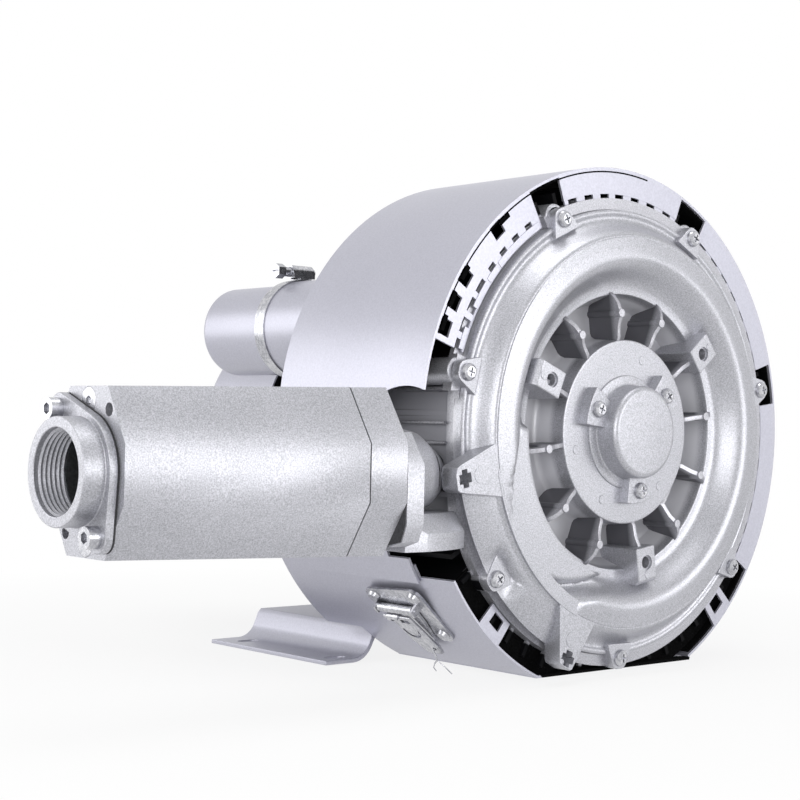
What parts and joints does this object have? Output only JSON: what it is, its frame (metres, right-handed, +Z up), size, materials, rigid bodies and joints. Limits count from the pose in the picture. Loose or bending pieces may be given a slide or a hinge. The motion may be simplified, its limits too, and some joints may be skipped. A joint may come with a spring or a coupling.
{
  "type": "two-stage side channel blower",
  "caption": "Two-stage side channel blower with a ribbed cast front cover, a side silencer, a rear pipe, a sheet noise shroud with a latch, and a slotted foot plate.",
  "frame": {"origin": "centre of the four foot slots, on the floor plane", "axes": "+Z up, the shaft along Y, the front cover faces -Y, the silencer points to -X"},
  "size_m": [0.516, 0.354, 0.2922],
  "materials": {
    "cast": "silver paint, fine speckle",
    "sheet": "silver paint, smooth",
    "zinc": "zinc plated",
    "steel": "ground",
    "wheel": "cast",
    "rubber": "matt",
    "plastic": "moulded",
    "felt": "felt",
    "copper": "wound wire",
    "lining": "mineral wool",
    "paper": "gasket board"
  },
  "bodies": {
    "frame": {"front_cover": "cast", "cover_screws": "zinc", "bearing_cap": "cast", "cap_screws": "zinc", "centre_casing": "cast", "rear_casing": "cast", "casing_seal": "rubber", "front_bearing": "steel", "drive_bearing": "steel", "fan_bearing": "steel", "shaft_seal": "rubber", "motor_barrel": "cast", "stator": "copper", "end_shield": "cast", "shield_bolts": "zinc", "fan_cowl": "sheet", "cowl_screws": "zinc", "terminal_box": "cast", "terminal_lid": "sheet", "lid_screws": "zinc", "entry_plug": "plastic", "silencer_body": "cast", "silencer_end": "cast", "silencer_gasket": "paper", "silencer_tube": "steel", "absorber": "lining", "port_flange": "cast", "port_gasket": "paper", "port_screws": "zinc", "tie_screws": "zinc", "intake_neck": "cast", "neck_gasket": "paper", "pipe_sleeve": "sheet", "rear_pipe": "sheet", "clamp_band": "zinc", "clamp_housing": "zinc", "clamp_screw": "zinc", "upper_shroud": "sheet", "lower_tray": "sheet", "shroud_felt": "felt", "foot_bracket": "sheet", "foot_screws": "zinc", "latch_base": "zinc", "latch_screws": "zinc", "latch_pin": "zinc"},
    "rotor": {"shaft": "steel", "impeller_front": "wheel", "impeller_rear": "wheel", "rotor_core": "steel", "cooling_fan": "plastic"},
    "lever": {"latch_lever": "zinc", "locking_wire": "zinc"},
    "bail": {"latch_bail": "zinc"}
  },
  "joints": [
    {"name": "rotor_spin", "type": "hinge", "parent": "frame", "child": "rotor", "pos_m": [0, -0.0415, 0.14], "axis": [0, 1, 0], "continuous": true},
    {"name": "lever_hinge", "type": "hinge", "parent": "frame", "child": "lever", "pos_m": [-0.11804, -0.1165, 0.03921], "axis": [0, 1, 0], "range_deg": [0, 95]},
    {"name": "bail_hinge", "type": "hinge", "parent": "lever", "child": "bail", "pos_m": [-0.11414, -0.1165, 0.03419], "axis": [0, 1, 0], "range_deg": [0, 75]}
  ]
}
